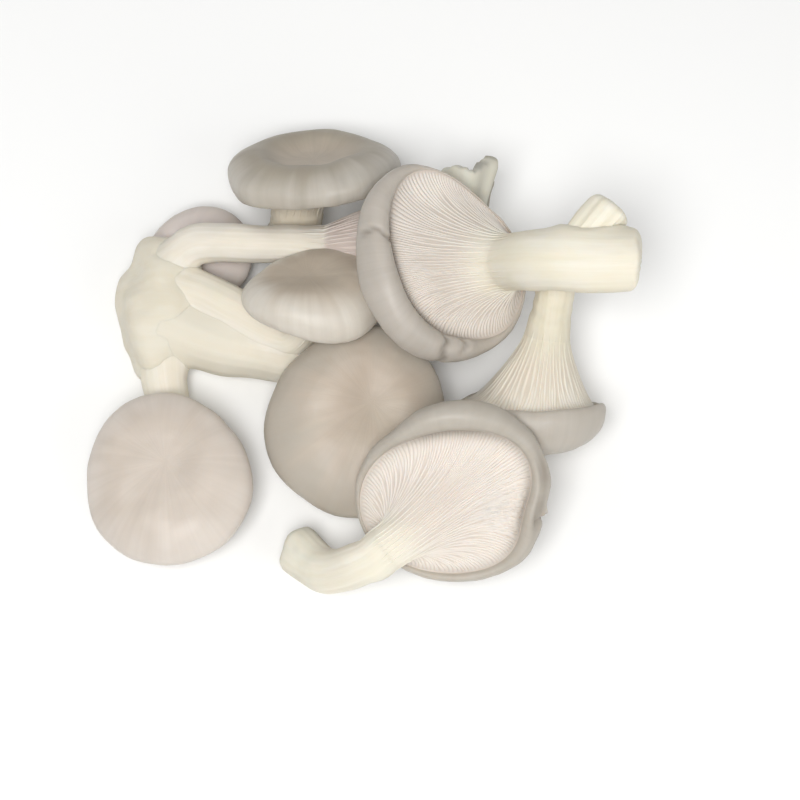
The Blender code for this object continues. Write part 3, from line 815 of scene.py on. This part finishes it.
# spheres along the part of the stub that stands out of the stem
stubShare = np.linspace(0.4, 0.97, 30)
stubRadii = curveThrough(brokenStub["radius"], stubShare)[:, 0]
stubBeads = (curveThrough(brokenStub["line"], stubShare), stubRadii)
growMushroom("cuppedMushroom", "cupped_mushroom", {**cuppedCap, "meets": [stubBeads]})
growStub("brokenStub", "cupped_mushroom", {**brokenStub, "meets": [beadsOf(cuppedCap)]})

frontCap = {
    "radius": 31, "at": (17.6, -44.1, 34.0), "lean": 147.1, "leanTo": 84.7, "turn": -45.8,
    "lip": (4.8, 6.5), "offset": 26, "neck": ((-26, 0, -9.5), (-35, 0, -9)), "backLift": 4,
    "stemLine": ((-24, -63.6, 13.8), (-35.2, -53.6, 7.3)), "stemRadius": (7.5, 7, 8.5), "gills": 128,
    "gillHeight": 0.34, "gillRows": 56, "seed": 9, "footColour": (0.62, 0.61, 0.53),
    "footReach": (0.55, 1.0),
    "lipShares": (
        (0, 0.56), (15, 0.56), (30, 0.7), (45, 0.88), (60, 0.82), (75, 0.6), (90, 0.42), (105, 0.42),
        (135, 0.36), (165, 0.18), (185, 0.08), (205, 0.1), (222, 0.2), (240, 0.38), (255, 0.56),
        (270, 0.86), (285, 1.0), (315, 1.04), (330, 0.92), (345, 0.73),
    ),
    "dents": ((52, 20, 0.075), (258, 20, 0.03)), "trench": 0.9,
    "crinkles": ((50, 22, 2.2), (25, 16, 0.8)),
    "creases": (
        (52, 2.5, 1.4, 0.5, 1.3), (48, 1.8, -1.1, 0.6, 1.2), (20, 14, 0.7, 0.3, 0.7),
        (45, 14, 0.7, 0.3, 0.7), (183, 2.2, 1.3, 0.3, 1.5), (177, 3, -0.7, 0.3, 1.3),
    ),
    "capColour": (0.42, 0.37, 0.31), "capCloud": (0.48, 0.43, 0.36), "rimColour": (0.475, 0.44, 0.385),
    "gillColour": (0.735, 0.675, 0.615), "gillCloud": (0.76, 0.70, 0.635),
    "stemColour": (0.80, 0.76, 0.66), "stemCloud": (0.78, 0.75, 0.64), "soft": 0.4,
}
growMushroom("frontMushroom", "front_mushroom", frontCap)

upturnedCap = {
    "radius": 24.5, "at": (44.3, -10, 21), "lean": 122, "leanTo": -94.2, "turn": 91.8, "crown": 15.5,
    "offset": 2, "neck": ((-3, -2.2, -23),), "flare": (0.4, 0.45), "stemLine": ((51.4, 28.5, 41.2),),
    "stemRadius": (7.6, 6.3, 6.4), "gillRows": 48, "seed": 10, "lip": (3, 5),
    "lipShares": (
        (0, 0.8), (40, 0.6), (65, 0.2), (110, 0.1), (180, 0.2), (270, 0.5), (320, 0.7),
    ),
    "gillHeight": 0.28, "trench": 0.7, "soft": 0.4, "paleTo": 0.75, "capColour": (0.43, 0.39, 0.33),
    "capCloud": (0.48, 0.44, 0.375), "rimColour": (0.485, 0.445, 0.39),
    "gillColour": (0.73, 0.67, 0.575), "gillCloud": (0.77, 0.73, 0.65),
    "stemColour": (0.73, 0.69, 0.58), "stemCloud": (0.70, 0.66, 0.54),
}
growMushroom("upturnedMushroom", "upturned_mushroom", upturnedCap)

tornCap = {
    "radius": 14, "at": (17, 44, 11.3), "lean": 141, "leanTo": -118, "turn": 0, "crown": 5,
    "dimple": 1.5, "dimpleRadius": 6, "lip": (3, 4), "offset": 1, "neck": ((-1, 0, -8.5), (-1, 0, -13)),
    "stemLine": ((21, 59, 25), (23, 71, 28.5)), "stemRadius": (5.5, 9, 11.5), "torn": 5,
    "flaps": ((-8, 11, 6.0), (-27, 7, 5.0), (12, 13, 3.6), (75, 40, 1.6)),
    # the inward folds also get painted shade, the deepest making a dark strip down one side of the torn end
    "folds": ((-30, 17, -2.4), (18, 12, -1.2), (-60, 24, -1.6)), "gills": 64, "gillHeight": 0.4,
    "seed": 11, "stemColour": (0.66, 0.65, 0.56), "stemCloud": (0.72, 0.71, 0.63),
    "footColour": (0.62, 0.61, 0.53),
}
growMushroom("tornMushroom", "torn_mushroom", tornCap)

# floor, light and camera
stage = {"floor": (0.93, 0.93, 0.92), "distance": 0.755, "elevation": 70, "lens": 100}
target = Vector((-heapMiddle[0] * mm, -heapMiddle[1] * mm, 0))

bpy.ops.mesh.primitive_plane_add(size=6, location=(0, 0, 0))
floor = bpy.context.object
floor.name = "tableTop"
floorLook = bpy.data.materials.new("paleTable")
floorLook.use_nodes = True
floorLook.node_tree.nodes["Principled BSDF"].inputs["Base Color"].default_value = (*stage["floor"], 1)
floorLook.node_tree.nodes["Principled BSDF"].inputs["Roughness"].default_value = 0.8
floor.data.materials.append(floorLook)

lamps = {
    "keyLamp": {"at": (-0.10, -0.45, 1.0), "size": 0.45, "power": 9},
    "fillLamp": {"at": (0.7, -0.6, 0.6), "size": 0.7, "power": 2.3},
    "backLamp": {"at": (-0.5, 0.8, 0.8), "size": 0.8, "power": 1.8},
}
for name, lamp in lamps.items():
    data = bpy.data.lights.new(name, "AREA")
    data.size, data.energy = lamp["size"], lamp["power"]
    made = bpy.data.objects.new(name, data)
    bpy.context.scene.collection.objects.link(made)
    made.location = lamp["at"]
    made.rotation_euler = (target - made.location).to_track_quat("-Z", "Y").to_euler()

bpy.context.scene.view_settings.view_transform = "Standard"
world = bpy.data.worlds.new("studio")
bpy.context.scene.world = world
world.use_nodes = True
world.node_tree.nodes["Background"].inputs["Color"].default_value = (1, 1, 1, 1)
world.node_tree.nodes["Background"].inputs["Strength"].default_value = 0.33

elevation = math.radians(stage["elevation"])
cameraData = bpy.data.cameras.new("camera")
cameraData.lens = stage["lens"]
camera = bpy.data.objects.new("camera", cameraData)
bpy.context.scene.collection.objects.link(camera)
camera.location = target + stage["distance"] * Vector((0, -math.cos(elevation), math.sin(elevation)))
camera.rotation_euler = (target - camera.location).to_track_quat("-Z", "Y").to_euler()
bpy.context.scene.camera = camera
print("stage set")
